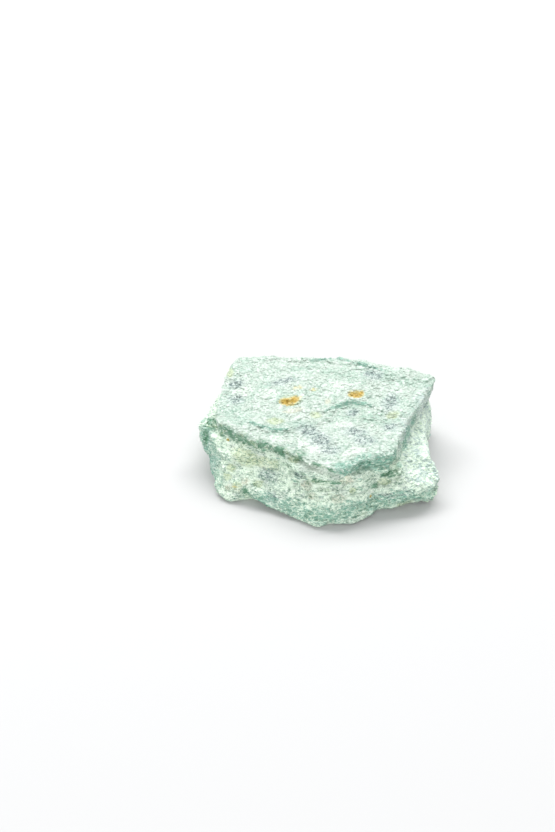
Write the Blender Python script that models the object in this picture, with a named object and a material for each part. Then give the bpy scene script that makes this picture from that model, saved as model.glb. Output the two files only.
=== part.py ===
"""A rough piece of fuchsite: one broken stone of green mica schist, 59 mm long.

The stone split along its foliation, so it is a thick top slab on a wider lower slab, with broken
sheets between and on them. It is one solid, made in four steps: a loft through the stone's rims,
small chips joined to it, the relief of the broken sheets, and a flat worn base cut at the bottom.
Run it with: blender --background --python part.py
"""

import math

import bmesh
import bpy
import numpy as np
from mathutils import Vector, noise

MM = 0.001

# Driving dimensions
STONE_LENGTH = 58.3 * MM  # along X
STONE_DEPTH = 47.5 * MM  # along Y
STONE_HEIGHT = 18.1 * MM

# The stone's rims, top to bottom: corners (x, y, z) in millimetres, anticlockwise from the right.
# Upper edge of the top slab
CREST = (
    (24.1, 1.9, 16.4), (26.1, 6.8, 16.6), (27.8, 9.3, 16.8), (29.4, 13.4, 16.9), (29.1, 14.6, 17.2),
    (23.4, 16.4, 17.6), (16.8, 17.6, 17.8), (5.7, 21.0, 17.6), (-7.4, 22.6, 17.0), (-17.9, 23.2, 16.4),
    (-20.3, 22.8, 16.2), (-21.8, 19.0, 15.8), (-23.5, 12.9, 15.2), (-24.6, 7.5, 14.8), (-25.6, 1.7, 14.4),
    (-23.2, -1.0, 14.4), (-20.7, -2.9, 14.4), (-16.4, -6.6, 14.4), (-13.5, -7.6, 14.4), (-9.0, -10.0, 14.4),
    (-5.9, -12.2, 14.4), (-3.8, -14.3, 14.4), (-0.3, -16.5, 14.4), (4.2, -18.0, 14.4), (7.2, -17.4, 14.6),
    (12.4, -14.5, 15.2), (17.4, -13.7, 15.8), (19.1, -7.9, 16.0), (21.0, -2.8, 16.2),
)  # fmt: skip
# Foot of the top slab, drawn in under its front edge
FOOT = (
    (22.5, -0.3, 10.8), (25.2, 5.2, 11.0), (27.2, 8.7, 11.0), (27.4, 12.8, 11.2), (26.6, 14.6, 11.4),
    (21.5, 16.9, 11.4), (15.0, 18.6, 11.2), (5.0, 21.8, 11.0), (-7.0, 23.2, 10.8), (-16.6, 23.4, 10.6),
    (-19.2, 22.2, 10.6), (-20.6, 18.5, 10.6), (-22.4, 12.6, 10.8), (-23.8, 6.5, 11.0), (-24.3, 1.2, 11.4),
    (-23.0, -2.0, 11.5), (-20.6, -3.4, 11.5), (-16.2, -5.9, 11.6), (-11.7, -8.3, 11.6), (-9.3, -9.0, 11.7),
    (-6.7, -10.2, 11.8), (-4.2, -12.4, 11.8), (-0.6, -15.0, 11.6), (4.2, -16.6, 11.6), (7.8, -15.8, 12.0),
    (11.4, -13.8, 12.4), (13.2, -13.2, 11.0), (15.0, -13.0, 10.2), (17.4, -12.6, 9.9), (19.2, -8.0, 10.0),
    (20.2, -5.0, 10.4),
)  # fmt: skip
# Upper edge of the lower slab, which slopes down from the foot to the front
SHELF = (
    (26.3, -2.4, 10.0), (26.4, 2.3, 10.4), (27.9, 9.0, 9.8), (28.2, 14.0, 9.4), (24.2, 18.4, 9.4),
    (16.0, 20.4, 9.2), (6.0, 23.2, 9.0), (-7.0, 24.0, 8.8), (-17.0, 23.8, 8.6), (-22.0, 22.3, 8.8),
    (-23.8, 18.0, 9.4), (-25.4, 12.5, 10.2), (-26.4, 8.2, 11.0), (-27.2, 4.8, 11.5), (-28.9, 3.6, 11.5),
    (-25.6, -2.4, 11.2), (-22.6, -8.2, 8.2), (-21.4, -11.6, 4.2), (-17.5, -12.4, 4.0), (-12.8, -15.0, 4.2),
    (-5.9, -17.8, 4.6), (0.2, -21.2, 5.0), (3.7, -23.2, 5.2), (6.3, -21.4, 5.5), (11.6, -19.0, 6.5),
    (12.6, -17.4, 6.6), (19.0, -16.6, 6.4), (23.3, -16.2, 6.2), (27.4, -13.9, 6.0), (29.4, -10.8, 6.2),
    (28.4, -9.3, 8.0), (26.5, -7.0, 9.4),
)  # fmt: skip
# Lower edge of the lower slab, where its side turns under
BELLY = (
    (26.8, -4.0, 4.0), (26.8, 2.0, 4.2), (28.4, 8.5, 4.4), (28.6, 14.0, 4.2), (25.0, 18.8, 4.0),
    (16.5, 21.4, 3.6), (5.5, 23.8, 3.4), (-7.5, 24.4, 3.2), (-17.5, 24.2, 3.2), (-23.0, 22.0, 3.6),
    (-25.0, 17.0, 4.4), (-26.8, 11.0, 6.0), (-28.6, 6.0, 8.0), (-29.4, 2.8, 9.0), (-28.8, 0.2, 7.0),
    (-26.5, -3.5, 4.5), (-25.1, -8.7, 2.0), (-24.0, -11.5, 0.8), (-21.7, -13.5, 0.4), (-18.3, -13.5, 0.6),
    (-16.5, -13.6, 1.9), (-14.0, -15.6, 1.7), (-9.2, -18.5, 1.1), (-5.4, -20.2, 0.7), (-0.3, -23.0, 0.3),
    (3.1, -21.9, 0.4), (5.3, -21.5, 0.5), (9.0, -19.6, 1.0), (13.6, -17.2, 1.2), (18.0, -16.9, 1.4),
    (22.4, -14.9, 1.5), (27.3, -13.8, 1.6), (28.7, -11.7, 3.0),
)  # fmt: skip
# Outline of the bottom, which is cut flat just above it
BASE = (
    (25.0, -4.5, -0.5), (24.6, 3.0, -0.5), (25.6, 10.0, -0.5), (23.5, 15.5, -0.5), (15.0, 18.5, -0.5),
    (5.0, 20.8, -0.5), (-8.0, 21.6, -0.5), (-17.0, 20.6, -0.5), (-20.5, 16.0, -0.5), (-22.0, 9.0, -0.5),
    (-23.4, 2.0, -0.5), (-22.6, -4.5, -0.5), (-22.4, -9.5, -0.5), (-21.4, -12.6, -0.5), (-18.6, -12.6, -0.5),
    (-15.6, -11.0, -0.5), (-11.0, -13.0, -0.5), (-6.5, -16.8, -0.5), (-1.0, -21.6, -0.5), (3.5, -20.6, -0.5),
    (9.0, -19.4, -0.5), (12.5, -15.5, -0.5), (18.5, -13.6, -0.5), (23.0, -11.5, -0.5),
)  # fmt: skip

# Chips and lumps that stand on the loft: hulls of their corners, in millimetres
CHIPS = {
    "thin sheet under the front tip": (
        (-8.4, -10.8, 12.2), (-5.4, -14.4, 12.2), (-1.5, -17.0, 12.1), (1.3, -18.3, 12.1),
        (4.3, -18.5, 12.2), (6.6, -16.8, 12.4), (0.0, -8.0, 12.4),
        (-8.0, -11.4, 11.1), (-5.2, -15.0, 11.0), (-1.3, -17.6, 10.9), (1.3, -18.8, 10.9),
        (4.2, -18.9, 10.9), (6.4, -17.0, 11.2), (0.0, -8.0, 10.5),
    ),
    "flake at the right front corner": (
        (17.8, -13.2, 11.9), (19.2, -12.9, 12.1), (20.4, -12.7, 11.1), (19.8, -14.8, 9.7),
        (18.5, -14.3, 10.5), (19.6, -11.4, 9.8), (18.2, -11.8, 10.0),
    ),
    "lip of the right front wall": (
        (12.8, -14.4, 12.2), (13.2, -15.2, 11.2), (15.0, -15.4, 10.8), (17.4, -15.0, 10.6),
        (17.6, -13.6, 12.6), (14.0, -11.0, 12.4), (14.6, -14.0, 10.2), (17.0, -12.0, 10.2),
    ),
    "step below the right front edge": (
        (11.8, -17.6, 6.8), (13.2, -16.8, 7.6), (19.0, -16.2, 7.4), (18.0, -12.0, 10.0),
        (11.9, -12.0, 9.6), (18.6, -15.0, 5.0), (12.0, -15.0, 5.0),
    ),
    "mass under the right front edge": (
        (6.2, -17.0, 11.2), (8.6, -16.8, 11.6), (11.6, -14.8, 12.4), (13.6, -14.2, 10.6),
        (12.6, -16.8, 9.0), (9.4, -19.0, 8.4), (6.6, -19.2, 8.8), (8.0, -12.0, 9.0),
        (12.0, -12.0, 8.0), (8.0, -15.0, 6.0),
    ),
    "lump on the front ridge": (
        (-1.4, -16.4, 10.2), (3.5, -17.8, 10.3), (7.6, -17.4, 9.4), (6.2, -20.4, 7.2),
        (4.1, -22.3, 6.0), (0.6, -20.2, 6.6), (-2.0, -17.6, 8.6), (4.0, -12.0, 6.0), (4.0, -16.0, 4.0),
    ),
    "lump right of the notch": (
        (-18.4, -11.4, 5.6), (-15.9, -12.2, 6.2), (-14.6, -14.5, 5.2), (-14.8, -15.8, 3.2),
        (-17.6, -13.8, 2.8), (-16.0, -9.0, 4.0),
    ),
    "bulge at the left front corner": (
        (-23.3, -11.0, 3.9), (-21.0, -10.2, 6.0), (-18.9, -12.3, 4.8), (-18.5, -13.9, 2.2),
        (-19.6, -14.2, 0.4), (-22.6, -13.6, 0.4), (-24.2, -11.6, 1.2), (-20.0, -8.0, 2.0),
    ),
    "tongue at the bottom of the front": (
        (3.6, -22.6, 0.2), (8.6, -22.3, 0.2), (12.2, -19.9, 0.6), (13.9, -17.4, 1.4),
        (13.4, -16.2, 3.6), (9.6, -18.4, 3.4), (5.6, -20.8, 3.0), (5.0, -17.0, 0.0),
    ),
}  # fmt: skip

# Broken sheets on the top: outlines (x, y) in millimetres, and how far each rises or sinks
FRONT_SCAR = (
    (-30.0, -3.0), (-18.0, -2.6), (-13.5, -3.1), (-9.2, -4.5), (-5.8, -3.8), (-3.2, -2.6), (0.7, -2.4),
    (2.4, -0.4), (4.2, 3.4), (8.2, 5.7), (11.2, 5.2), (14.1, 2.7), (18.3, 0.3), (30.0, -4.0),
    (30.0, -30.0), (-30.0, -30.0),
)  # fmt: skip
BACK_STRIP = (
    (-14.0, 30.0), (-13.0, 22.4), (-3.0, 20.9), (2.4, 20.3), (5.9, 19.1), (10.3, 18.7), (13.7, 16.5),
    (18.9, 13.3), (23.0, 12.6), (32.0, 12.0), (32.0, 30.0),
)  # fmt: skip
LEFT_SCAR = ((-30.0, 16.0), (-20.0, 15.0), (-16.5, 9.5), (-17.5, 3.0), (-21.0, 1.6), (-30.0, 0.0))
TOP_SHEETS = ((FRONT_SCAR, -0.55 * MM), (BACK_STRIP, 0.4 * MM), (LEFT_SCAR, -0.4 * MM))
SHEET_EDGE = 0.5 * MM  # width over which a sheet's edge steps

# Pits on the top: centre x, y and half width, half depth, in millimetres
PITS = ((-6.4, 5.5, 2.7, 1.3), (9.1, 7.7, 2.0, 1.3))
PIT_DEPTH = 0.7 * MM

# Relief of the broken faces
FOLIATION = Vector((-0.03, -0.07, 1.0)).normalized()  # across the sheets
SHEET_PITCH = 1.6 * MM  # thickness of one bundle of sheets
SHEET_WAVE = 0.7 * MM  # how far the bundles rise and fall across the stone
SHEET_JUT = 0.7 * MM  # how far a bundle stands out or in on a broken side
SLOPE_CALM = 0.6  # how much weaker that relief is on slopes than on walls
TREAD = 0.3  # half of the share of a bundle that lies flat as a ledge
FACET_SIZE = 4.2 * MM  # width of one facet of a break
FACET_TILT = 0.26
LUMP_SIZE = 11 * MM
LUMP_HEIGHT = 0.4 * MM

# Mesh
LOFT_ANGLES = 300
VOXEL = 0.36 * MM
TRIANGLES = 9000


def clear_scene():
    for old in list(bpy.data.objects):
        bpy.data.objects.remove(old)


def rim_point(rim, angle):
    """Where a ray from the stone's upright axis at this angle crosses the rim, in millimetres."""
    ray = Vector((math.cos(angle), math.sin(angle)))
    for start, end in zip(rim, rim[1:] + rim[:1]):
        side, next_side = ray.cross(Vector(start[:2])), ray.cross(Vector(end[:2]))
        if side <= 0 < next_side and ray.dot(Vector(start[:2]) + Vector(end[:2])) > 0:
            return Vector(start).lerp(Vector(end), side / (side - next_side))
    raise ValueError("the rim doesn't go round the axis")


def top_height(x, y):
    """Height of the plane that the top lies along, in millimetres."""
    return 15.6 + 0.03 * x + 0.07 * y


def loft_rings():
    """Rings of points from the top's centre to the base's centre, with steps between the rims."""
    angles = [2 * math.pi * i / LOFT_ANGLES for i in range(LOFT_ANGLES)]
    rims = [[rim_point(rim, a) for a in angles] for rim in (CREST, FOOT, SHELF, BELLY, BASE)]
    rings = []
    for share in (0.06, 0.2, 0.35, 0.5, 0.65, 0.8, 0.92):
        ring = []
        for edge in rims[0]:
            x, y = edge.x * share, edge.y * share
            ring.append(Vector((x, y, top_height(x, y) + (edge.z - top_height(edge.x, edge.y)) * share**2)))
        rings.append(ring)
    for upper, lower in zip(rims, rims[1:]):
        for step in range(6):
            rings.append([a.lerp(b, step / 6) for a, b in zip(upper, lower)])
    rings.append(rims[-1])
    rings += [[edge * share for edge in rims[-1]] for share in (0.8, 0.6, 0.4, 0.2)]
    return rings


def loft_body(bm):
    """The stone's main form: the rings joined by faces, closed at both poles."""
    rows = [[bm.verts.new(p * MM) for p in ring] for ring in loft_rings()]
    for upper, lower in zip(rows, rows[1:]):
        for i in range(LOFT_ANGLES):
            j = (i + 1) % LOFT_ANGLES
            bm.faces.new((upper[i], lower[i], lower[j], upper[j]))
    bm.faces.new(rows[0])
    bm.faces.new(rows[-1][::-1])


def chip(bm, corners):
    """One chip, as the hull of its corners."""
    made = bmesh.ops.convex_hull(bm, input=[bm.verts.new(Vector(c) * MM) for c in corners])
    inner = {v for v in made["geom_interior"] if isinstance(v, bmesh.types.BMVert)}
    bmesh.ops.delete(bm, geom=list(inner), context="VERTS")


def evaluated_mesh(obj):
    graph = bpy.context.evaluated_depsgraph_get()
    return bpy.data.meshes.new_from_object(obj.evaluated_get(graph))


def replace_mesh(obj, mesh):
    """Gives the object this mesh in place of its own and its modifiers."""
    old = obj.data
    obj.modifiers.clear()
    obj.data = mesh
    bpy.data.meshes.remove(old)


def weld_into_one(obj):
    """Remeshes the object as one even skin round everything that it holds."""
    skin = obj.modifiers.new("skin", "REMESH")
    skin.mode = "VOXEL"
    skin.voxel_size = VOXEL
    replace_mesh(obj, evaluated_mesh(obj))


def distance_inside(points, outline):
    """Distance of each (x, y) inside a closed outline, and minus the distance outside it."""
    corners = np.array(outline) * MM
    nearest = np.full(len(points), np.inf)
    inside = np.zeros(len(points), bool)
    for start, end in zip(corners, np.roll(corners, -1, axis=0)):
        along = end - start
        share = np.clip((points - start) @ along / (along @ along), 0, 1)
        gap = points - (start + share[:, None] * along)
        nearest = np.minimum(nearest, np.hypot(gap[:, 0], gap[:, 1]))
        crosses = (start[1] > points[:, 1]) != (end[1] > points[:, 1])
        rise = np.where(crosses, end[1] - start[1], 1)
        at = start[0] + (points[:, 1] - start[1]) / rise * along[0]
        inside ^= crosses & (points[:, 0] < at)
    return np.where(inside, nearest, -nearest)


def smooth_step(values, low, high):
    share = np.clip((values - low) / (high - low), 0, 1)
    return share * share * (3 - 2 * share)


def noise_at(points, size, seed, octaves=3):
    """Fractal noise, about -1 to 1, at each point, with features of this size."""
    shift = Vector((seed * 7.3, seed * 3.1, seed * 5.7))
    return np.array(
        [noise.fractal(Vector(p) / size + shift, 0.9, 2.1, octaves) for p in points]
    )


def arrays_of(mesh):
    points = np.empty(len(mesh.vertices) * 3)
    mesh.vertices.foreach_get("co", points)
    normals = np.empty(len(mesh.vertices) * 3)
    mesh.vertices.foreach_get("normal", normals)
    return points.reshape(-1, 3), normals.reshape(-1, 3)


def facets_at(points, size, seed):
    """Height of a faceted break at each point: one tilted plane in each cell of a Voronoi pattern."""
    shift = Vector((seed * 5.1, seed * 9.7, seed * 2.3))
    heights = []
    for p in points:
        at = Vector((p[0], p[1], p[2] * 1.6)) / size + shift
        centre = noise.voronoi(at)[1][0]
        heights.append((at - centre).dot(noise.noise_vector(centre * 3.7)))
    return np.array(heights) * size


def break_into_sheets(points, normals):
    """The breaks step along the foliation, each bundle of sheets with an edge of its own."""
    across = np.array(FOLIATION)
    crest = 1 - 0.6 * smooth_step(points[:, 2], 12.5 * MM, 14.5 * MM)
    flat_top = smooth_step(normals[:, 2], 0.86, 0.97) * (points[:, 2] > 12 * MM)
    low = smooth_step(points[:, 2], 0.3 * MM, 1.6 * MM)
    low *= 1 - SLOPE_CALM * smooth_step(normals[:, 2], 0.35, 0.6)
    height = points @ across + SHEET_WAVE * noise_at(points * (1, 1, 0), 16 * MM, 1, octaves=2)
    count = height / SHEET_PITCH + 0.3 * np.sin(height / SHEET_PITCH * 1.9)
    ledge = np.round(count)
    off = count - ledge
    beyond = np.clip((np.abs(off) - TREAD) / (0.5 - TREAD), 0, 1)
    stepped = ledge + np.sign(off) * 0.5 * beyond
    lift = (stepped - count) * SHEET_PITCH * (1 - flat_top) * low

    def jut_of(bundle):
        along = np.stack([points[:, 0], points[:, 1], bundle * 40 * MM], axis=1)
        return noise_at(along, 7 * MM, 2, octaves=2) + 0.5 * noise_at(along, 2.6 * MM, 6, octaves=2)

    upper = smooth_step(off, -TREAD, TREAD)
    jut = SHEET_JUT * (jut_of(ledge - 1) * (1 - upper) + jut_of(ledge) * upper)
    outward = normals * (1, 1, 0)
    return points + outward * (jut * low * crest)[:, None] + across * lift[:, None]


def chip_facets(points, normals):
    """Facets where the sheets broke across, and low lumps and hollows all over."""
    flat = smooth_step(normals[:, 2], 0.86, 0.97)
    low = smooth_step(points[:, 2], 0.3 * MM, 1.6 * MM)
    height = FACET_TILT * facets_at(points, FACET_SIZE, 1) * (1 - 0.75 * flat) * low
    height += LUMP_HEIGHT * noise_at(points, LUMP_SIZE, 3)
    return points + normals * height[:, None]


def step_sheets(points, normals):
    """The broken sheets and the pits on the top."""
    on_top = smooth_step(normals[:, 2], 0.5, 0.8) * (points[:, 2] > 12.5 * MM)
    plan = points[:, :2] + 0.7 * MM * np.stack(
        [noise_at(points, 2.5 * MM, 4), noise_at(points, 2.5 * MM, 5)], axis=1
    )
    uneven = 1 + 0.7 * noise_at(points, 8 * MM, 8, octaves=1)
    lift = np.zeros(len(points))
    for outline, rise in TOP_SHEETS:
        inside = smooth_step(distance_inside(plan, outline), -SHEET_EDGE / 2, SHEET_EDGE / 2)
        lift += rise * inside * uneven
    for x, y, half_width, half_depth in PITS:
        reach = np.hypot((plan[:, 0] / MM - x) / half_width, (plan[:, 1] / MM - y) / half_depth)
        lift -= PIT_DEPTH * (1 - smooth_step(reach, 0.45, 1.1))
    moved = points.copy()
    moved[:, 2] += lift * on_top
    return moved


def carve_relief(obj):
    mesh = obj.data
    for step in (chip_facets, break_into_sheets, step_sheets):
        points, normals = arrays_of(mesh)
        mesh.vertices.foreach_set("co", step(points, normals).ravel())
        mesh.update()


def thin_out(obj):
    """Keeps the triangles where the relief needs them."""
    obj.data.calc_loop_triangles()
    fewer = obj.modifiers.new("fewer", "DECIMATE")
    fewer.ratio = TRIANGLES / len(obj.data.loop_triangles)
    replace_mesh(obj, evaluated_mesh(obj))


def cut_flat_base(obj):
    """Cuts the bottom along one plane, so that the stone rests on it."""
    bm = bmesh.new()
    bm.from_mesh(obj.data)
    bmesh.ops.bisect_plane(
        bm, geom=bm.verts[:] + bm.edges[:] + bm.faces[:], dist=1e-6,
        plane_co=(0, 0, 0), plane_no=(0, 0, 1), clear_inner=True,
    )  # fmt: skip
    rim = [e for e in bm.edges if e.is_boundary]
    made = bmesh.ops.triangle_fill(bm, edges=rim, use_beauty=True, normal=(0, 0, -1))
    for v in {v for e in rim for v in e.verts}:
        v.co.z = 0
    bmesh.ops.triangulate(bm, faces=bm.faces[:])
    bmesh.ops.recalc_face_normals(bm, faces=bm.faces[:])
    print("base faces", sum(isinstance(g, bmesh.types.BMFace) for g in made["geom"]))
    bm.to_mesh(obj.data)
    bm.free()


def fit_to_size(obj):
    """Brings the stone to its driving dimensions, with the origin at the bottom centre of its box."""
    points, _ = arrays_of(obj.data)
    low, high = points.min(0), points.max(0)
    middle = np.array([(low[0] + high[0]) / 2, (low[1] + high[1]) / 2, low[2]])
    scale = np.array([STONE_LENGTH, STONE_DEPTH, STONE_HEIGHT]) / (high - low)
    print("scale", scale, "middle", middle)
    obj.data.vertices.foreach_set("co", ((points - middle) * scale).ravel())
    obj.data.update()


def mica_green():
    material = bpy.data.materials.new("green mica schist")
    material.use_nodes = True
    surface = material.node_tree.nodes["Principled BSDF"]
    surface.inputs["Base Color"].default_value = (0.42, 0.6, 0.48, 1)
    surface.inputs["Roughness"].default_value = 0.55
    surface.inputs["Metallic"].default_value = 0
    return material


def make_stone():
    bm = bmesh.new()
    loft_body(bm)
    bmesh.ops.recalc_face_normals(bm, faces=bm.faces[:])
    for corners in CHIPS.values():
        chip(bm, corners)
    mesh = bpy.data.meshes.new("stone")
    bm.to_mesh(mesh)
    bm.free()
    stone = bpy.data.objects.new("stone", mesh)
    bpy.context.scene.collection.objects.link(stone)
    weld_into_one(stone)
    carve_relief(stone)
    weld_into_one(stone)
    thin_out(stone)
    cut_flat_base(stone)
    fit_to_size(stone)
    stone.data.materials.append(mica_green())
    stone.data.shade_smooth()
    stone.data.set_sharp_from_angle(angle=math.radians(35))
    return stone


clear_scene()
make_stone()
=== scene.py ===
import math
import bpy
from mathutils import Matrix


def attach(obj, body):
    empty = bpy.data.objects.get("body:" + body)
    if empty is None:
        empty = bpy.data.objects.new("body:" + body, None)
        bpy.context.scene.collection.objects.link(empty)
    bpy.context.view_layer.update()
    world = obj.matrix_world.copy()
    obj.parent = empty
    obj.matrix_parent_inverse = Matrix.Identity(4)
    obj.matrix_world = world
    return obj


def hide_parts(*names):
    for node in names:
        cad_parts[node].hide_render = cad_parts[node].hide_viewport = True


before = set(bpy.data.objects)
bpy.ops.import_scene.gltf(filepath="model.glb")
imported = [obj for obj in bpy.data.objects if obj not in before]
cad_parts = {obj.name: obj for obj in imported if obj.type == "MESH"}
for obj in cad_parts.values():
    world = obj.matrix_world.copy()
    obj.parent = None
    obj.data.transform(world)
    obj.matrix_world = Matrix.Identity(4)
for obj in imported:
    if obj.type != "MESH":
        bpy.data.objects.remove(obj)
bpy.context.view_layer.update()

from types import SimpleNamespace

import bmesh
import bpy
import numpy as np
from mathutils import Vector

mm = 0.001
foliation = Vector((-0.03, -0.07, 1.0)).normalized()  # across the mica sheets
topSlab = 13 * mm  # nearly all of the top slab's split face is above this height
lowerSlab = 11 * mm  # most of the lower slab's split faces are below this one


# Node building, shared by every tree below

class Wire:  # one output socket, so that maths on it reads as Python
    def __init__(self, tree, socket):
        self.tree = tree
        self.socket = socket

    def other(self, name):  # another output of the same node
        outputs = self.socket.node.outputs
        return Wire(self.tree, next(s for s in outputs if s.identifier == name))

    def maths(self, operation, left, right=0.0):
        return self.tree.make("ShaderNodeMath", {"operation": operation}, {0: left, 1: right})

    def __add__(self, other):
        return self.maths("ADD", self, other)

    def __sub__(self, other):
        return self.maths("SUBTRACT", self, other)

    def __rsub__(self, other):
        return self.maths("SUBTRACT", other, self)

    def __mul__(self, other):
        return self.maths("MULTIPLY", self, other)

    def __truediv__(self, other):
        return self.maths("DIVIDE", self, other)

    def __rtruediv__(self, other):
        return self.maths("DIVIDE", other, self)

    def __pow__(self, other):
        return self.maths("POWER", self, other)

    def __abs__(self):
        return self.maths("ABSOLUTE", self)


class Tree:  # makes the nodes of one shader or geometry tree
    def __init__(self, tree):
        self.tree = tree

    def make(self, kind, settings=None, sockets=None, out=0):
        node = self.tree.nodes.new(kind)
        for name, value in (settings or {}).items():
            setattr(node, name, value)
        for name, value in (sockets or {}).items():
            place = node.inputs[name] if isinstance(name, int) else self.named(node.inputs, name)
            if isinstance(value, Wire):
                self.tree.links.new(value.socket, place)
            else:
                place.default_value = value
        return Wire(self, node.outputs[out] if isinstance(out, int) else self.named(node.outputs, out))

    def named(self, places, name):
        return next(s for s in places if s.identifier == name)

    def noise(self, at, size, detail=2.0, roughness=0.5, distortion=0.0):  # about 0 to 1
        return self.make("ShaderNodeTexNoise", {"noise_dimensions": "3D"}, {
            "Vector": at, "Scale": 1 / size, "Detail": detail,
            "Roughness": roughness, "Distortion": distortion})

    def stretched(self, at, by, size, *rest):  # noise whose features are shorter where "by" is larger
        return self.noise(self.vector("MULTIPLY", at, by), size, *rest)

    def cells(self, at, size):  # a random colour for each cell
        cells = self.make("ShaderNodeTexVoronoi", {"voronoi_dimensions": "3D"}, {
            "Vector": at, "Scale": 1 / size})
        return cells.other("Color")

    def ramp(self, value, low, high, to=(0.0, 1.0), smooth=True):  # maps low..high to the pair
        kind = "SMOOTHSTEP" if smooth else "LINEAR"
        return self.make("ShaderNodeMapRange", {"interpolation_type": kind}, {
            "Value": value, "From Min": low, "From Max": high, "To Min": to[0], "To Max": to[1]})

    def mix(self, share, first, second, blend="MIX"):  # of two colours
        settings = {"data_type": "RGBA", "blend_type": blend, "clamp_factor": True}
        return self.make("ShaderNodeMix", settings, {
            "Factor_Float": share, "A_Color": colour(first), "B_Color": colour(second)}, "Result_Color")

    def vector(self, operation, first, second=(0, 0, 0)):
        out = "Value" if operation in ("DOT_PRODUCT", "LENGTH", "DISTANCE") else "Vector"
        return self.make("ShaderNodeVectorMath", {"operation": operation}, {
            "Vector": first, "Vector_001": second}, out)

    def times(self, vector, factor):
        return self.make("ShaderNodeVectorMath", {"operation": "SCALE"}, {
            "Vector": vector, "Scale": factor})

    def height(self, at):
        return self.make("ShaderNodeSeparateXYZ", None, {"Vector": at}).other("Z")


def colour(value):
    return value if isinstance(value, Wire) or len(value) == 4 else (*value, 1.0)


def groupTree(name, inputs):  # a geometry tree with these named inputs, and a Wire for each
    group = bpy.data.node_groups.new(name, "GeometryNodeTree")
    group.interface.new_socket("Geometry", in_out="INPUT", socket_type="NodeSocketGeometry")
    for key, value in inputs.items():
        kind = "NodeSocketInt" if isinstance(value, int) else "NodeSocketFloat"
        group.interface.new_socket(key, in_out="INPUT", socket_type=kind).default_value = value
    group.interface.new_socket("Geometry", in_out="OUTPUT", socket_type="NodeSocketGeometry")
    tree = Tree(group)
    entry = group.nodes.new("NodeGroupInput")
    wires = {s.name: Wire(tree, s) for s in entry.outputs if s.name}
    return group, tree, wires


def finishTree(tree, geometry):
    ending = tree.tree.nodes.new("NodeGroupOutput")
    tree.tree.links.new(geometry.socket, ending.inputs[0])


def plainMesh(obj, name):  # what the modifiers make of the object, as a mesh of its own
    graph = bpy.context.evaluated_depsgraph_get()
    mesh = bpy.data.meshes.new_from_object(obj.evaluated_get(graph))
    mesh.name = name
    return mesh


def runTree(obj, group, inputs):  # applies the geometry tree to the object, with its inputs set first
    modifier = obj.modifiers.new(group.name, "NODES")
    modifier.node_group = group
    for item in group.interface.items_tree:
        if item.in_out == "INPUT" and item.name in inputs:
            modifier[item.identifier] = inputs[item.name]
    mesh = plainMesh(obj, obj.name)
    obj.modifiers.clear()
    old = obj.data
    obj.data = mesh
    bpy.data.meshes.remove(old)


def newObject(name, mesh):
    obj = bpy.data.objects.new(name, mesh)
    bpy.context.scene.collection.objects.link(obj)
    return obj


def triangleCount(mesh):
    mesh.calc_loop_triangles()
    return len(mesh.loop_triangles)


# Skin: the stone's own surface, finer than its solid

skinValues = {
    "voxel": 0.275 * mm,
    "smoothing": 0.35,
    "baseSnap": 0.12 * mm,  # what is lower than this becomes the flat base
    "splitFaces": (0.62, 0.93),  # how flat a face lies: broken below the first, split above the second
    "crumbsBelow": (12.5 * mm, 10.5 * mm),  # the crumbs spread to the split faces between these heights
    "waveSize": 6 * mm,  # the sheets rise and fall over this length
    "jutSizes": (3.2 * mm, 1.1 * mm),  # lengths of the large and small notches along a sheet's edge
    "toneSize": 1.2 * mm,
    "lipHeight": 0.32 * mm,
    "lipReach": 2.6 * mm,  # how far behind its edge a raised sheet comes back to level
    "lipLength": 1.5,  # a raised edge is this many times as long as its green line
    "inputs": {
        "Sheet Pitch": 0.7 * mm,  # thickness of one thin sheet
        "Sheet Jut": 0.36 * mm,  # how far a sheet's edge stands out or in
        "Sheet Wave": 0.5 * mm,
        "Crumb Size": 1.3 * mm,
        "Crumb Height": 0.19 * mm,
        "Mound Size": 3.6 * mm,  # soft bumps on the split faces
        "Mound Height": 0.5 * mm,
        "Top Step": 0.32 * mm,  # height of the thin steps on the split faces
        "Base Fade": 0.9 * mm,  # the relief fades out over this height above the floor
        "Seed": 3,
    },
}


def remeshedStone():
    bm = bmesh.new()
    bm.from_mesh(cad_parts["stone"].data)
    bmesh.ops.remove_doubles(bm, verts=bm.verts, dist=0.001 * mm)
    mesh = bpy.data.meshes.new("stoneSkin")
    bm.to_mesh(mesh)
    bm.free()
    mesh.materials.clear()
    obj = newObject("stoneSkin", mesh)
    even = obj.modifiers.new("even", "REMESH")
    even.mode = "VOXEL"
    even.voxel_size = skinValues["voxel"]
    smooth = obj.modifiers.new("smooth", "SMOOTH")
    smooth.factor = skinValues["smoothing"]
    smooth.iterations = 1
    obj.data = plainMesh(obj, "stoneSkin")
    obj.modifiers.clear()
    return obj


def flattenBase(obj):  # one flat face underneath, where the stone rests
    bm = bmesh.new()
    bm.from_mesh(obj.data)
    for v in bm.verts:
        if v.co.z < skinValues["baseSnap"]:
            v.co.z = 0
    under = [f for f in bm.faces if all(v.co.z == 0 for v in f.verts)]
    flat = set(under)
    spare = [v for v in bm.verts if v.co.z == 0 and all(f in flat for f in v.link_faces)]
    bmesh.ops.delete(bm, geom=spare, context="VERTS")
    rim = [e for e in bm.edges if e.is_boundary]
    bmesh.ops.triangle_fill(bm, edges=rim, use_beauty=True, normal=(0, 0, -1))
    bmesh.ops.recalc_face_normals(bm, faces=bm.faces[:])
    bm.to_mesh(obj.data)
    bm.free()


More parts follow.
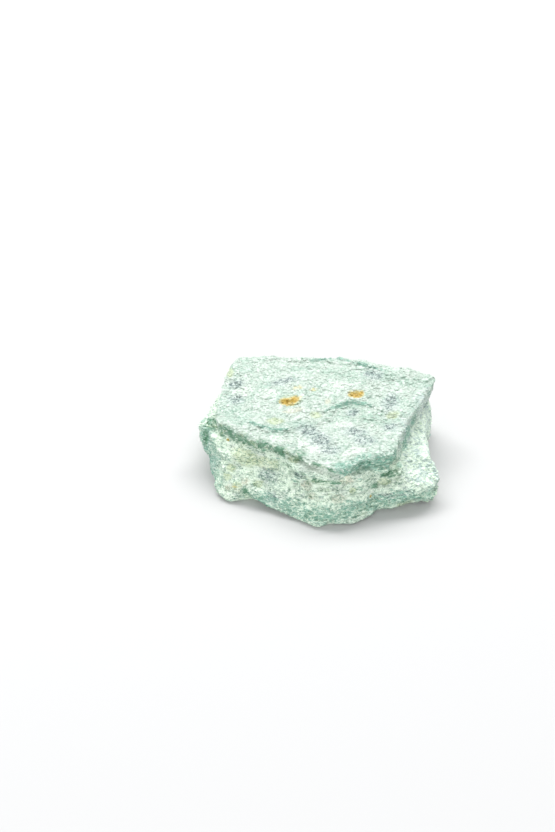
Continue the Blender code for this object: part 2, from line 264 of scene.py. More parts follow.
def reliefTree():
    group, t, use = groupTree("thin sheets", skinValues["inputs"])
    at = t.make("GeometryNodeInputPosition")
    normal = t.make("GeometryNodeInputNormal")
    z = t.height(at)
    facing = abs(t.vector("DOT_PRODUCT", normal, tuple(foliation)))
    steep = t.ramp(facing, *skinValues["splitFaces"], to=(1.0, 0.0))
    low = t.ramp(z, 0.0, use["Base Fade"])
    flatAt = t.vector("MULTIPLY", at, (1, 1, 0))
    wave = use["Sheet Wave"] * (t.noise(flatAt, skinValues["waveSize"]) - 0.5)
    height = t.vector("DOT_PRODUCT", at, tuple(foliation)) + wave

    def stepsOf(pitch, tread):  # counts the sheets, and flattens each into a ledge
        count = height / pitch
        ledge = t.make("ShaderNodeMath", {"operation": "ROUND"}, {0: count})
        off = count - ledge
        beyond = t.ramp(abs(off), tread, 0.5, smooth=False)
        sign = t.make("ShaderNodeMath", {"operation": "SIGN"}, {0: off})
        return ledge, off, (ledge + sign * 0.5 * beyond - count) * pitch

    ledge, off, lift = stepsOf(use["Sheet Pitch"], 0.3)
    upper = t.ramp(off, -0.3, 0.3)

    def jutOf(sheet):
        along = t.make("ShaderNodeCombineXYZ", None, {"Z": (sheet + use["Seed"]) * 0.04})
        spot = t.vector("ADD", flatAt, along)
        large, small = skinValues["jutSizes"]
        return (t.noise(spot, large) - 0.5) * 2.0 + (t.noise(spot, small) - 0.5)

    jut = jutOf(ledge - 1.0) * (1.0 - upper) + jutOf(ledge) * upper
    topLift = stepsOf(use["Top Step"], 0.36)[2]
    crumb = (t.noise(at, use["Crumb Size"], 4.0, 0.6) - 0.5) * 2.0
    outward = t.vector("MULTIPLY", normal, (1, 1, 0))
    push = t.times(outward, jut * use["Sheet Jut"] * steep * low)
    rise = t.times(tuple(foliation), (lift * steep + topLift * (1.0 - steep)) * low)
    ragged = t.ramp(z, *skinValues["crumbsBelow"], to=(0.2, 1.0))
    crumbly = steep.maths("MAXIMUM", steep, ragged)
    rough = t.times(normal, crumb * use["Crumb Height"] * crumbly * low)
    mound = (t.noise(flatAt, use["Mound Size"], 3.0, 0.55, 0.5) - 0.5) * 2.0
    swell = t.times(tuple(foliation), mound * use["Mound Height"] * (1.0 - steep) * low)
    offset = t.vector("ADD", t.vector("ADD", push, rise), t.vector("ADD", rough, swell))
    moved = t.make("GeometryNodeSetPosition", None, {"Geometry": use["Geometry"], "Offset": offset})
    toned = t.make("GeometryNodeStoreNamedAttribute", {"data_type": "FLOAT", "domain": "POINT"}, {
        "Geometry": moved, "Name": "tone", "Value": t.noise(at, skinValues["toneSize"])})
    finishTree(t, toned)
    return group


def makeSkin():
    skin = remeshedStone()
    runTree(skin, reliefTree(), skinValues["inputs"])
    flattenBase(skin)
    liftLips(skin)
    skin.data.shade_smooth()
    print("skin", triangleCount(skin.data), "triangles")
    return skin


# Mica scales: small plates that lie along the foliation, all over the skin

scaleValues = {
    "sides": 5,
    "sink": 0.62,  # share of a scale's depth that lies below the skin
    "splitFaces": (0.55, 0.95),  # how flat a face lies: few scales below the first, most above the second
    "onEdges": 0.12,  # how thickly they lie on the broken faces, where the split faces have 1
    "bare": (0.5 * mm, 0.9 * mm),  # no scales below the first height, all of them above the second
    "inputs": {
        "Density": 2.9e6,  # per square metre
        "Width": 0.66 * mm,
        "Narrow": 0.7,  # width across a scale, as a share of the width along it
        "Depth": 0.24 * mm,
        "Tilt": math.radians(9),
        "Seed": 5,
    },
}


def scaleTree():
    group, t, use = groupTree("mica scales", scaleValues["inputs"])
    facing = abs(t.vector("DOT_PRODUCT", t.make("GeometryNodeInputNormal"), tuple(foliation)))
    above = t.ramp(t.height(t.make("GeometryNodeInputPosition")), *scaleValues["bare"])
    thick = t.ramp(facing, *scaleValues["splitFaces"], to=(scaleValues["onEdges"], 1.0)) * above
    points = t.make("GeometryNodeDistributePointsOnFaces", {"distribute_method": "RANDOM"}, {
        "Mesh": use["Geometry"], "Density": use["Density"] * thick, "Seed": use["Seed"]})
    plate = t.make("GeometryNodeMeshCone", {"fill_type": "NGON"}, {
        "Vertices": scaleValues["sides"], "Side Segments": 1, "Fill Segments": 1,
        "Radius Top": 0.5, "Radius Bottom": 0.0, "Depth": 1.0})
    lowered = t.make("GeometryNodeTransform", None, {
        "Geometry": plate, "Translation": (0, 0, -scaleValues["sink"])})

    def chance(low, high, seed):
        return t.make("FunctionNodeRandomValue", {"data_type": "FLOAT"}, {
            "Min_001": low, "Max_001": high, "Seed": seed}, "Value_001")

    flat = t.make("FunctionNodeAlignRotationToVector", {"axis": "Z"}, {"Vector": tuple(foliation)})
    turn = t.make("ShaderNodeCombineXYZ", None, {
        "X": chance(-1.0, 1.0, 11) * use["Tilt"], "Y": chance(-1.0, 1.0, 12) * use["Tilt"],
        "Z": chance(-math.pi, math.pi, 13)})
    turned = t.make("FunctionNodeRotateRotation", {"rotation_space": "LOCAL"}, {
        "Rotation": flat, "Rotate By": t.make("FunctionNodeEulerToRotation", None, {"Euler": turn})})
    size = (chance(0.0, 1.0, 15) ** 2.0 * 1.2 + 0.45) * use["Width"]  # most of them small
    scale = t.make("ShaderNodeCombineXYZ", None, {
        "X": size, "Y": size * use["Narrow"] * chance(0.7, 1.5, 16), "Z": use["Depth"]})
    placed = t.make("GeometryNodeInstanceOnPoints", None, {
        "Points": points, "Instance": lowered, "Rotation": turned, "Scale": scale})
    toned = t.make("GeometryNodeStoreNamedAttribute", {"data_type": "FLOAT", "domain": "INSTANCE"}, {
        "Geometry": placed, "Name": "tone", "Value": chance(0.0, 1.0, 17)})
    real = t.make("GeometryNodeRealizeInstances", None, {"Geometry": toned})
    coloured = t.make("GeometryNodeSetMaterial", None, {
        "Geometry": real, "Material": bpy.data.materials["mica"]})
    finishTree(t, coloured)
    return group


def makeScales(skin):
    scales = newObject("micaScales", skin.data.copy())
    scales.data.name = "micaScales"
    runTree(scales, scaleTree(), scaleValues["inputs"])
    print("scales", triangleCount(scales.data), "triangles")
    return scales


# Mica: the one material of the stone

micaColours = {
    # silver flecks: partly the mica's own pale colour, partly painted sheen of the cleavage faces
    "silverAndSheen": (0.69, 0.77, 0.71),
    # pale patches: partly the stone's own white, partly painted light on the shaded shelf and soft wall
    "white": (0.85, 0.93, 0.84),
    "pale": (0.51, 0.62, 0.54),
    "mint": (0.32, 0.50, 0.40),
    "teal": (0.18, 0.42, 0.32),
    "green": (0.09, 0.26, 0.15),
    "deep": (0.07, 0.19, 0.13),
    "olive": (0.34, 0.44, 0.22),
    "haze": (0.46, 0.57, 0.59),  # around the slate flakes
    "slate": (0.14, 0.20, 0.20),
    "speck": (0.20, 0.33, 0.27),
    "freshAndPaintedLight": (0.80, 0.94, 0.79),  # the lower slab, paler and yellower: partly its own paler break, partly painted light against the shade under the top slab; also the pale flakes on broken faces
    "yellow": (0.56, 0.65, 0.37),
    "cream": (0.74, 0.69, 0.54),
    "straw": (0.66, 0.55, 0.20),
    "gold": (0.57, 0.39, 0.055),
    "rust": (0.40, 0.19, 0.05),
}
micaSizes = {  # of the features in each texture
    "fleck": 0.5 * mm,
    "fine": 0.28 * mm,
    "swirl": 0.9 * mm,  # bends the outlines of the flecks
    "cloud": 5.5 * mm,
    "calm": 3.0 * mm,  # areas where the dark specks thin out
    "blotch": 2.0 * mm,
    "streak": 1.6 * mm,  # along the sheets' broken edges
    "ragged": 1.6 * mm,  # the outlines of the patches
    "crease": 1.5 * mm,  # the thin dark lines between flakes
    "wisp": 1.3 * mm,
    "rust": 0.8 * mm,
    "fibre": 0.5 * mm,
    "speck": 0.4 * mm,
}
micaValues = {
    "swirl": 0.7 * mm,  # how far the flecks' outlines bend
    "fleckTilt": 0.4,  # how far a fleck's shine leans away from the surface
    "bumpHeight": 0.06 * mm,
    "topShades": ((0.70, 0.71, 0.70), (0.97, 0.97, 0.97)),  # darkest and palest flecks of the top slab
    "lowerPaintedLightShades": ((0.84, 0.84, 0.82), (1.0, 1.0, 1.0)),  # and of the lower slab, paler there as painted light against the shade under the top slab
    "roughness": (0.3, 0.75),  # the shiniest and the dullest fleck
    "ior": 1.58,
    "topPatch": 14,  # a patch whose middle is higher than this, in mm, lies on the top slab's split face
    "topReach": 12,  # its half height in mm, so that on the top only the plan of a patch matters
    "farAway": 4.0,  # distances from a patch are cut off here, where 1 is its edge
}
# Patches: x, y and z of the middle, half width and half depth in mm, and turn in degrees. Each is as high
# as it is deep, but on the top slab's split face it takes in the whole height.
patches = {
    "slate": (
        (-8.2, 12.3, 16, 3.0, 0.9, 18), (-20.0, 7.3, 16, 1.6, 1.5, -40), (-20.0, 12.3, 16, 1.5, 1.2, 0),
        (-2.2, -5.2, 16, 2.6, 1.6, -35), (0.4, -8.4, 16, 2.6, 2.0, -50), (2.6, -12.1, 16, 2.0, 1.2, 0),
        (8.7, -6.0, 16, 2.4, 1.5, -10), (11.0, -9.3, 16, 2.4, 1.5, -10), (17.1, -4.8, 16, 1.6, 1.2, 0),
        (8.3, 1.2, 16, 1.4, 1.0, 20), (17.5, 3.8, 16, 1.6, 2.4, -15), (13.6, 13.5, 16, 2.0, 1.4, -15),
        (-12.2, -13.3, 8, 2.3, 1.4, -15), (-11.4, -17, 3.5, 2.0, 1.4, 0), (15.6, -18.2, 5, 2.4, 1.3, 0),
        (8.5, -20.8, 4.8, 2.2, 1.0, 15), (20.5, -16.9, 5, 2.0, 1.3, 0), (-4.7, -15.4, 9.6, 1.5, 0.9, -30),
        (-27.0, -1.0, 8.5, 1.4, 3.0, 0), (-25.8, -5.5, 5.0, 1.4, 2.6, 15)),
    "mint": (
        (-18.2, -1.0, 16, 2.6, 1.0, -20), (-21.3, 2.5, 16, 1.8, 1.8, 0), (-25.0, 1.5, 11.5, 2.4, 2.6, 0),
        (-16.9, 16.8, 16, 1.9, 1.0, 0), (-5.0, 17.1, 16, 2.7, 1.2, 0), (3.8, 19.5, 16, 3.5, 1.0, -8),
        (2.6, 15.4, 16, 2.5, 1.3, 0), (16.2, 13.1, 16, 2.0, 2.2, 0), (25.0, 10.8, 16, 3.4, 2.0, 0),
        (12.2, -1.4, 16, 2.3, 1.8, 0), (16.9, -2.7, 16, 2.9, 1.3, 5), (23.5, 1.8, 16, 1.4, 3.6, -20),
        (-3.5, -2.8, 16, 3.8, 1.3, 5), (9.0, 3.4, 16, 3.8, 0.9, 5), (-10.0, -15.7, 6, 2.0, 1.2, 0),
        (-16.2, -10.2, 9, 1.5, 1.2, 0), (-8.6, -12.2, 9.8, 2.2, 1.0, -20),
        (-1.0, -22.2, 2.7, 3.0, 1.6, 0), (5.8, -22, 4, 2.0, 1.4, 0), (21.5, -6.5, 10, 2.0, 3.0, 0),
        (24.5, 0.0, 12, 2.0, 5.0, -10), (27.0, 7.0, 10, 2.0, 5.0, -20), (24.0, -13.5, 7.0, 4.0, 1.6, -10),
        (23.5, -9.5, 9.2, 3.0, 2.2, 0), (26.8, -11.5, 7.0, 1.6, 2.4, 0), (-5.0, -20.2, 3.8, 1.8, 1.2, 0)),
    "yellow": (
        (-10.4, -1.8, 16, 2.5, 1.4, 0), (-0.5, 0.1, 16, 1.6, 1.2, 0), (17.9, -0.6, 16, 1.9, 1.2, 0),
        (-21.6, 16.3, 16, 1.1, 2.0, 0), (-6.5, 5.6, 16, 2.9, 1.7, 10), (-17.5, -9.0, 9.5, 4.4, 2.2, -35),
        (-12.0, -11.5, 9.5, 3.6, 1.8, -30), (-21.0, -10.2, 7, 1.5, 1.2, 0),
        (-22.0, -11.3, 5.5, 1.4, 1.2, 0), (-19.6, -13.5, 4.5, 1.5, 1.2, 0),
        (-14.3, -13.6, 5.2, 1.6, 1.0, 0), (-6.0, -13.1, 12.2, 1.8, 1.0, -30),
        (-15.6, -7.7, 13, 1.2, 0.8, -30), (7.8, -19.4, 8.2, 1.2, 1.0, 0), (15.4, -16.1, 8, 1.8, 1.0, 0),
        (20.7, -16.6, 1.6, 2.6, 1.2, 0)),
    "cream": (
        (-2.8, -17.8, 8.2, 1.8, 1.3, -20), (-1.5, -19.7, 6.7, 1.4, 1.0, 0),
        (6.8, -18.5, 10.6, 2.0, 1.1, 10), (4.7, -21.3, 7, 2.0, 1.3, 0), (-17.6, -13.0, 5.5, 1.6, 1.0, 0),
        (-21.5, -12.8, 3.2, 1.3, 1.0, 0), (2.4, 4.6, 16, 0.8, 1.1, 0), (-6.2, 1.8, 16, 2.6, 0.9, 10)),
    # white: the stone's own white areas on the top slab, and painted light on the shelf and the soft wall
    # under the overhang
    "white": (
        (-19.5, -7.3, 10, 3.0, 2.0, -35), (-13.5, -10.8, 9.5, 3.5, 2.0, -25),
        (-8.9, -17.7, 4.1, 1.6, 1.1, 0), (1.0, -21.8, 6, 2.2, 1.5, 0), (16.0, -17.8, 5.9, 1.6, 0.8, 0),
        (26.4, -15.4, 3.4, 1.4, 1.0, 0), (11.2, -20.0, 1.9, 2.0, 1.0, 0),
        (-3.0, -14.9, 12.6, 2.6, 1.6, -35), (-0.4, -16.8, 12.6, 3.2, 1.8, -35),
        (6.6, -18.3, 9.5, 2.6, 1.8, 0), (14.0, -18.5, 7, 2.4, 1.5, 0), (22.5, -13.4, 8, 2.4, 1.2, -10),
        (25.5, -7.5, 9, 1.0, 1.8, 0), (19.2, -13.6, 10.6, 1.0, 1.0, 0), (0.5, -19.5, 8, 3.0, 1.3, 0),
        (-6.5, -18, 6, 1.5, 1.2, 0), (25.0, 4.5, 12, 1.5, 3.0, -15), (-1.5, -11.0, 16, 4.0, 2.0, -40),
        (8.0, -13.0, 16, 4.0, 1.2, 15), (-9.2, -7.6, 16, 3.6, 1.2, -20), (5.5, 10.1, 16, 2.4, 1.2, 0),
        (-12.0, 8.0, 16, 3.0, 1.6, 0), (-18.6, 9.4, 16, 3.0, 2.0, 0), (5.5, -3.4, 16, 2.6, 1.4, 0)),
    # painted shade: dark green along the crack under the top slab's edge and the groove lines below the soft
    # wall, partly the mica's own green
    "greenAndCrackShade": (
        (-25.2, 1.6, 11.5, 2.0, 2.0, -40), (-22.3, -3.0, 12.6, 2.6, 1.5, -35),
        (-18.2, -5.6, 12.4, 2.6, 1.4, -30), (-13.4, -8.5, 12.7, 2.8, 1.4, -30),
        (-9.0, -11.2, 13, 2.4, 1.3, -35), (-4.6, -13, 13.2, 2.2, 1.2, -30),
        (-3.0, -14.8, 13.5, 1.8, 0.55, -38), (-0.2, -16.9, 13.5, 2.0, 0.55, -35),
        (2.6, -18.3, 13.4, 1.4, 0.5, -10), (-3.4, -16.4, 9.8, 1.4, 0.35, -25),
        (-0.8, -17.8, 9.6, 1.6, 0.4, -15), (1.4, -18.6, 9.9, 1.3, 0.35, -10),
        (3.6, -18.9, 10.0, 2.0, 0.4, 0), (17.2, -14.6, 9.2, 2.6, 0.8, 10),
        (12.8, -17.2, 7.6, 1.2, 0.8, 0), (-17.4, -14.2, 3.0, 0.9, 1.3, 0), (-27.2, -0.8, 9.2, 0.7, 1.8, 0)),
    "wall": (
        (6.2, -17.6, 13.6, 2.8, 1.6, 20), (10.4, -15.4, 13.2, 3.0, 1.8, 18),
        (14.8, -14.8, 12.8, 2.8, 2.0, 8), (18.0, -14.2, 12.8, 2.0, 1.8, 0),
        (20.6, -6.0, 11.0, 0.8, 1.6, -10), (21.5, -3.0, 12.6, 0.7, 1.5, -15),
        (22.9, 0.8, 13.6, 0.6, 1.6, -20)),
    "teal": (
        (-12.5, -16.6, 2.5, 3.6, 1.6, -15), (-5.5, -20.2, 2.8, 4.6, 2.0, -30),
        (1.5, -22.4, 3.0, 3.6, 2.4, 0), (7.5, -21.6, 4.0, 3.4, 2.2, 15), (13.5, -19.4, 3.5, 3.4, 2.0, 15),
        (20.0, -17.2, 4.0, 3.6, 1.6, 12), (25.5, -15.0, 3.6, 2.6, 1.4, 25),
        (-27.4, -0.8, 8.5, 1.6, 3.4, 0), (-26.4, -4.0, 6.0, 1.8, 4.4, 15),
        (-24.8, -9.0, 3.0, 1.4, 2.6, 25)),
    "cool": (
        (23.5, -5.0, 11.0, 5.0, 6.0, 0), (26.5, 3.0, 9.0, 4.0, 8.0, 0), (24.5, -12.0, 7.5, 5.0, 4.0, 0)),
    # lip lines: raised sheet edges, drawn as green lines that are partly the sheet's green edge and partly
    # painted shade of the step
    "lip": (
        (-15.2, -2.7, 16, 1.8, 0.28, -25), (-12.2, -4.3, 16, 1.7, 0.28, -20),
        (-9.2, -4.9, 16, 1.8, 0.28, 0), (3.8, 2.3, 16, 1.8, 0.3, 28), (6.6, 3.7, 16, 1.8, 0.3, 15),
        (9.6, 4.2, 16, 1.8, 0.3, -8), (11.8, 3.3, 16, 1.2, 0.3, -30), (1.5, 19.7, 16, 2.4, 0.25, 0),
        (6.5, 19.0, 16, 2.6, 0.25, -22), (11.0, 16.8, 16, 2.4, 0.25, -25),
        (14.4, 15.4, 16, 2.0, 0.25, -18)),
    "straw": (
        (-4.7, 9.8, 16, 1.7, 0.8, 12), (-0.9, 9.1, 16, 1.3, 0.6, 0), (-5.4, 6.2, 16, 2.0, 0.9, 20),
        (-19.9, -13.6, 3.4, 1.5, 0.9, 0), (-15.2, -7.4, 12.9, 0.9, 0.5, -30)),
    "ochre": (
        (-7.5, 5.1, 16, 1.8, 1.05, 8), (-5.7, 5.9, 16, 1.7, 0.85, 25), (9.1, 6.7, 16, 1.8, 1.35, 0),
        (10.5, 7.2, 16, 0.9, 0.7, 20), (-21.7, -4.6, 11.4, 0.45, 0.4, 0), (12.2, -19.3, 6.2, 0.4, 0.4, 0)),
}


def pointsOf(piece):  # one row for each point
    points = np.empty(len(piece.data.vertices) * 3)
    piece.data.vertices.foreach_get("co", points)
    return points.reshape(-1, 3)


def alongAndAcross(points, x, y, turn):  # in mm, from x, y and a line that is turned so many degrees
    side, ahead = points[:, 0] / mm - x, points[:, 1] / mm - y
    c, s = math.cos(math.radians(turn)), math.sin(math.radians(turn))
    return side * c + ahead * s, ahead * c - side * s


def liftLips(piece):  # raises the sheet behind each lip line, so that it ends in a small step
    points = pointsOf(piece)
    lift = np.zeros(len(points))
    for x, y, z, halfWidth, halfDepth, turn in patches["lip"]:
        along, behind = alongAndAcross(points, x, y, turn)
        beside = np.clip(1 - (along / (halfWidth * skinValues["lipLength"])) ** 2, 0, 1) ** 0.5
        fade = np.clip(1 - behind / skinValues["lipReach"] * mm, 0, 1) * beside
        lift = np.maximum(lift, np.where(behind > 0, fade, 0))
    lift[points[:, 2] < topSlab] = 0
    points[:, 2] += lift * skinValues["lipHeight"]
    piece.data.vertices.foreach_set("co", points.ravel())


def storePatches(piece):  # keeps each point's distance from the nearest patch, where 1 is a patch's edge
    points = pointsOf(piece)
    for kind, spots in patches.items():
        nearest = np.full(len(points), micaValues["farAway"])
        for x, y, z, halfWidth, halfDepth, turn in spots:
            along, across = alongAndAcross(points, x, y, turn)
            above = points[:, 2] / mm - z
            halfHeight = micaValues["topReach"] if z > micaValues["topPatch"] else halfDepth
            reach = np.sqrt((along / halfWidth) ** 2 + (across / halfDepth) ** 2 + (above / halfHeight) ** 2)
            nearest = np.minimum(nearest, reach)
        piece.data.attributes.new(kind, "FLOAT", "POINT").data.foreach_set("value", nearest)


def patchMask(t, kind, shift, outer=1.2, inner=0.6):  # 1 inside the patches of a kind, 0 away from them
    distance = t.make("ShaderNodeAttribute", {"attribute_name": kind}, None, "Fac")
    return t.ramp(distance + shift, outer, inner)


def micaTextures(t):  # what the colours are mixed by, from the finest flecks to the clouds
    look = SimpleNamespace()
    at = t.make("ShaderNodeTexCoord", None, None, "Object")
    look.normal = t.make("ShaderNodeNewGeometry", None, None, "Normal")
    look.tone = t.make("ShaderNodeAttribute", {"attribute_name": "tone"}, None, "Fac")
    swirl = t.vector("SUBTRACT", t.noise(at, micaSizes["swirl"]).other("Color"), (0.5, 0.5, 0.5))
    stirred = t.vector("ADD", at, t.times(swirl, micaValues["swirl"]))
    grain = t.vector("MULTIPLY", stirred, (0.8, 1.0, 1.5))
    look.fleckColour = t.cells(grain, micaSizes["fleck"])
    look.fleck = t.make("ShaderNodeSeparateColor", None, {"Color": look.fleckColour})
    look.fine = t.make("ShaderNodeSeparateColor", None, {"Color": t.cells(grain, micaSizes["fine"])})
    look.cloud = t.noise(at, micaSizes["cloud"], 3.0, 0.55)
    look.calm = t.ramp(t.noise(at, micaSizes["calm"], 3.0, 0.6), 0.42, 0.62)
    look.blotch = t.noise(at, micaSizes["blotch"], 3.0, 0.6)
    look.wisp = t.stretched(at, (0.8, 1.0, 1.4), micaSizes["wisp"], 4.0, 0.65, 0.6)
    look.fibre = t.stretched(at, (0.6, 1.0, 1.5), micaSizes["fibre"], 3.0, 0.65, 0.4)
    look.streak = t.stretched(at, (1.0, 1.0, 3.2), micaSizes["streak"], 4.0, 0.6, 0.4)
    look.speck = t.noise(at, micaSizes["speck"], 2.0, 0.6) + (look.fine.other("Green") - 0.5) * 0.4
    look.ragged = (t.noise(at, micaSizes["ragged"], 4.0, 0.7) - 0.5) * 1.7
    look.rust = t.noise(at, micaSizes["rust"], 3.0, 0.6)
    crease = abs(t.stretched(at, (0.55, 1.0, 1.5), micaSizes["crease"], 4.0, 0.62, 0.5) - 0.5)
    look.slit = t.ramp(crease + (look.fine.other("Blue") - 0.5) * 0.03, 0.028, 0.004)
    look.lower = t.ramp(t.height(at), topSlab, lowerSlab)  # 1 on the lower slab
    facing = abs(t.vector("DOT_PRODUCT", look.normal, tuple(foliation)))
    look.split = t.ramp(facing + (look.wisp - 0.5) * 0.4, 0.25, 0.62)  # 1 on split faces, 0 on broken ones
    return look


def micaMasks(t, look):  # one for each kind of patch, each with its own ragged outline
    ragged = look.ragged
    masks = {kind: patchMask(t, kind, ragged) for kind in ("slate", "mint", "cream", "straw", "white")}
    masks["haze"] = patchMask(t, "slate", ragged * 0.8, 2.0, 0.5)
    masks["yellow"] = patchMask(t, "yellow", ragged * 0.6)
    masks["greenAndCrackShade"] = patchMask(t, "greenAndCrackShade", ragged * 0.6, 1.5, 0.8)
    masks["wall"] = patchMask(t, "wall", ragged * 0.6, 1.4, 0.9)
    masks["cool"] = patchMask(t, "cool", ragged * 0.5, 1.5, 0.6)
    masks["teal"] = patchMask(t, "teal", (look.streak - 0.5) * 3.0 + ragged * 0.4, 1.6, 0.7)
    masks["lip"] = patchMask(t, "lip", ragged * 1.2, 1.8, 0.7)
    grainy = ragged * 0.4 + (look.fine.other("Blue") - 0.5) * 0.4 + (look.fibre - 0.5) * 0.8
    masks["ochre"] = patchMask(t, "ochre", grainy, 1.2, 0.8)
    masks["ochre rim"] = patchMask(t, "ochre", ragged * 0.5, 0.45, 0.85)
    return masks


def lay(t, below, share, name):  # one of the named colours over what is there
    return t.mix(share, below, micaColours[name])


def splitFaces(t, look, masks):  # silvery and mint flakes, with dark specks between them; the silver flecks are partly the mica's own pale colour and partly painted sheen, and the lower slab is paler, partly as painted light
    fibre, wisp, lower = look.fibre, look.wisp, look.lower
    face = lay(t, micaColours["pale"], t.ramp(look.cloud + (wisp - 0.5) * 0.4, 0.42, 0.64) * 0.6, "mint")
    for kind, share in (("mint", 0.55), ("white", 0.75), ("yellow", 0.7), ("cream", 0.6), ("straw", 0.7)):
        face = lay(t, face, masks[kind] * share, kind)
    # painted sheen: silver flecks on the split faces, fewer on the lower slab
    shine = t.ramp(look.fleck * 0.4 + fibre - (wisp - 0.5) * 0.4, 0.52, 0.86)
    tinted = masks["mint"] * 0.25 + masks["yellow"] * 0.45 + masks["cream"] * 0.3
    face = lay(t, face, shine * (0.85 - lower * 0.4 - tinted), "silverAndSheen")
    busy = masks["slate"] * 0.5 + look.calm * 0.22 + lower * 0.46 - masks["cool"] * 0.3
    dark = t.ramp(look.speck + (0.5 - fibre) * 0.5 + (wisp - 0.5) * 0.3, 0.56, 0.78)
    face = lay(t, face, dark * (busy + 0.14), "speck")
    face = lay(t, face, look.slit * (busy + 0.2), "green")
    # the lower slab's split faces made paler: partly its paler break, partly painted light against the shade
    # under the top slab
    freshAndPaintedLight = t.ramp(fibre * 0.7 + wisp * 0.8 + (look.cloud - 0.5) * 0.6, 0.62, 0.80)
    stained = masks["yellow"] * 0.55 + masks["cream"] * 0.5 + masks["slate"] * 0.4
    face = lay(t, face, lower * freshAndPaintedLight * (0.95 - stained), "freshAndPaintedLight")
    face = lay(t, face, masks["haze"] * 0.3, "haze")
    slaty = t.ramp((0.5 - fibre) * 1.5 + (look.speck - 0.5) * 0.8 + masks["haze"] * 0.2, 0.1, 0.36)
    face = lay(t, face, slaty * masks["haze"], "slate")
    return lay(t, face, masks["cool"] * t.ramp(fibre * 0.6 + wisp * 0.4, 0.56, 0.40) * 0.75, "haze")


def brokenFaces(t, look, masks):  # streaks of teal and green across the sheets' edges
    fibre, wisp = look.fibre, look.wisp
    edge = lay(t, micaColours["pale"], t.ramp(look.streak + (look.cloud - 0.5) * 0.4, 0.38, 0.62), "teal")
    edge = lay(t, edge, t.ramp(wisp, 0.52, 0.68) * 0.5, "green")
    edge = lay(t, edge, look.slit * 0.7, "deep")
    # pale patches on broken faces: partly the stone's own pale areas, partly painted light on the soft wall
    # under the overhang
    edge = lay(t, edge, masks["white"] * 0.7, "freshAndPaintedLight")
    edge = lay(t, edge, masks["yellow"] * 0.7, "yellow")
    edge = lay(t, edge, masks["cream"] * 0.75, "cream")
    edge = lay(t, edge, masks["wall"] * 0.75, "teal")
    edge = lay(t, edge, t.ramp(look.fleck * 0.5 + fibre, 0.62, 0.84) * 0.85, "freshAndPaintedLight")
    dark = t.ramp(look.speck + (wisp - 0.5) * 0.3 + (0.5 - fibre) * 0.5, 0.58, 0.78)
    edge = lay(t, edge, dark * 0.75, "deep")
    return lay(t, edge, masks["cool"] * t.ramp(fibre * 0.6 + wisp * 0.4, 0.60, 0.44) * 0.6, "haze")


def greenAreas(t, look, masks, base):  # the green lines and walls, on split and broken faces alike; the crack band and the lip lines are partly the mica's green and partly painted shade
    fibre, wisp, blotch = look.fibre, look.wisp, look.blotch
    streaky = fibre + (wisp - 0.5) * 0.8
    base = lay(t, base, masks["teal"] * t.ramp(streaky, 0.66, 0.4) * 0.75, "teal")
    base = lay(t, base, masks["wall"] * t.ramp(streaky, 0.70, 0.42) * 0.8, "teal")
    # the crack band's colour: partly the mica's green, partly painted shade in the crack
    crackGreenShade = lay(t, micaColours["green"], t.ramp(blotch, 0.52, 0.62) * 0.8, "olive")
    patchy = t.ramp(fibre + (wisp - 0.5) + (blotch - 0.5) * 0.8, 0.74, 0.40)
    base = t.mix(masks["greenAndCrackShade"] * patchy * 0.9, base, crackGreenShade)
    # the lip lines: partly the green edge of the raised sheet, partly painted shade of its step
    return lay(t, base, masks["lip"] * t.ramp(fibre, 0.7, 0.4) * 0.85, "teal")


def ochreSpots(t, look, masks, base):  # gold with rusty grains, and a paler rim
    rusty = t.ramp(look.rust + (look.fine - 0.5) * 0.3, 0.52, 0.74)
    stain = lay(t, micaColours["gold"], rusty * 0.5, "rust")
    stain = lay(t, stain, masks["ochre rim"], "straw")
    return t.mix(masks["ochre"], base, stain)


def fleckShades(t, look, masks, base):  # each fleck a little lighter or darker, the lower slab lighter overall as painted light, and the dark lines
    tone = look.tone * 0.4 + look.fine.other("Blue") * 0.6
    shade = t.mix(tone, *micaValues["topShades"])
    shade = t.mix(look.lower, shade, t.mix(tone, *micaValues["lowerPaintedLightShades"]))
    base = t.mix(1.0, base, shade, "MULTIPLY")
    return lay(t, base, look.slit * look.lower * (0.6 - masks["cool"] * 0.3), "deep")


def micaMaterial():
    material = bpy.data.materials.new("mica")
    material.use_nodes = True
    material.node_tree.nodes.clear()
    t = Tree(material.node_tree)
    look = micaTextures(t)
    masks = micaMasks(t, look)
    base = t.mix(look.split, brokenFaces(t, look, masks), splitFaces(t, look, masks))
    base = greenAreas(t, look, masks, base)
    base = ochreSpots(t, look, masks, base)
    base = fleckShades(t, look, masks, base)
    lean = t.times(t.vector("SUBTRACT", look.fleckColour, (0.5, 0.5, 0.5)), micaValues["fleckTilt"])
    leaning = t.vector("NORMALIZE", t.vector("ADD", look.normal, lean))
    height = (look.wisp * 1.4 + look.fleck * 0.3 + look.fibre * 1.6) * micaValues["bumpHeight"]
    bump = t.make("ShaderNodeBump", None, {
        "Strength": 1.0, "Distance": 1.0, "Height": height, "Normal": leaning})
    shader = t.make("ShaderNodeBsdfPrincipled", None, {
        "Base Color": base, "Normal": bump, "IOR": micaValues["ior"],
        "Roughness": t.ramp(look.fine, 0, 1, to=micaValues["roughness"], smooth=False)})
    output = material.node_tree.nodes.new("ShaderNodeOutputMaterial")
    material.node_tree.links.new(shader.socket, output.inputs["Surface"])
    print("mica material", len(material.node_tree.nodes), "nodes")
    return material


# Floor, light and camera

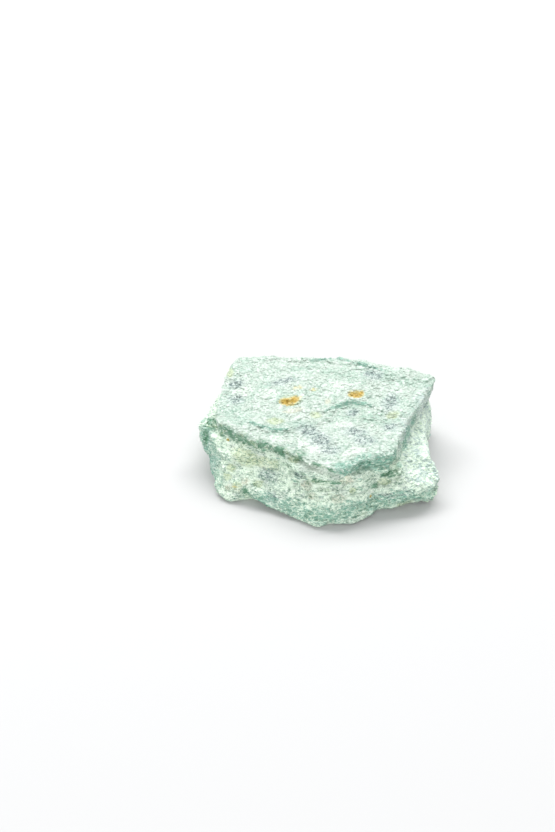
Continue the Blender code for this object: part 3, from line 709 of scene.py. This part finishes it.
studioValues = {
    "floorSize": 4.0,
    "floorColours": ((0.57, 0.57, 0.57), (0.565, 0.57, 0.575)),
    "floorClouds": 0.4,  # size of the areas where one colour turns to the other
    "floorRoughness": 0.9,
    "dome": 0.67,
    "lamps": {  # power in watts, width, depth, place
        "strip behind": (15.3, 1.4, 0.4, (-0.05, 0.50, 0.86)),
        "low fill in front": (5.3, 1.0, 0.4, (-0.15, -1.0, 0.25)),
    },
}
cameraValues = {
    "lens": 85.0,
    "sensorHeight": 36.0,
    "elevation": math.radians(38.7),
    "distance": 498 * mm,
    "lookAt": Vector((-9.8, 18.7, 0.0)) * mm,  # floor point at the middle of the picture
}


def makeFloor():
    half = studioValues["floorSize"] / 2
    mesh = bpy.data.meshes.new("floor")
    corners = [(-half, -half, 0), (half, -half, 0), (half, half, 0), (-half, half, 0)]
    mesh.from_pydata(corners, [], [(0, 1, 2, 3)])
    floor = newObject("floor", mesh)
    material = bpy.data.materials.new("white paper")
    material.use_nodes = True
    t = Tree(material.node_tree)
    shader = material.node_tree.nodes["Principled BSDF"]
    at = t.make("ShaderNodeTexCoord", None, None, "Object")
    tint = t.mix(t.noise(at, studioValues["floorClouds"]), *studioValues["floorColours"])
    material.node_tree.links.new(tint.socket, shader.inputs["Base Color"])
    shader.inputs["Roughness"].default_value = studioValues["floorRoughness"]
    floor.data.materials.append(material)


def makeLight():
    world = bpy.data.worlds.new("studio")
    world.use_nodes = True
    world.node_tree.nodes["Background"].inputs["Color"].default_value = (1, 1, 1, 1)
    world.node_tree.nodes["Background"].inputs["Strength"].default_value = studioValues["dome"]
    bpy.context.scene.world = world
    for name, (power, width, depth, place) in studioValues["lamps"].items():
        lamp = bpy.data.lights.new(name, "AREA")
        lamp.shape = "RECTANGLE"
        lamp.size = width
        lamp.size_y = depth
        lamp.energy = power
        box = bpy.data.objects.new(name, lamp)
        box.location = place
        box.rotation_euler = (-box.location).to_track_quat("-Z", "Y").to_euler()
        bpy.context.scene.collection.objects.link(box)
    bpy.context.scene.view_settings.view_transform = "Standard"


def makeCamera():
    lens = bpy.data.cameras.new("camera")
    lens.lens = cameraValues["lens"]
    lens.sensor_fit = "VERTICAL"
    lens.sensor_height = cameraValues["sensorHeight"]
    camera = bpy.data.objects.new("camera", lens)
    elevation = cameraValues["elevation"]
    back = Vector((0, -math.cos(elevation), math.sin(elevation)))
    camera.location = cameraValues["lookAt"] + back * cameraValues["distance"]
    camera.rotation_euler = (math.pi / 2 - elevation, 0, 0)
    bpy.context.scene.collection.objects.link(camera)
    bpy.context.scene.camera = camera


makeCamera()
makeLight()
makeFloor()
mica = micaMaterial()
skin = makeSkin()
skin.data.materials.clear()
skin.data.materials.append(mica)
scales = makeScales(skin)
for piece in (skin, scales):
    storePatches(piece)
    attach(piece, "root")
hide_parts("stone")
print("stone dressed")
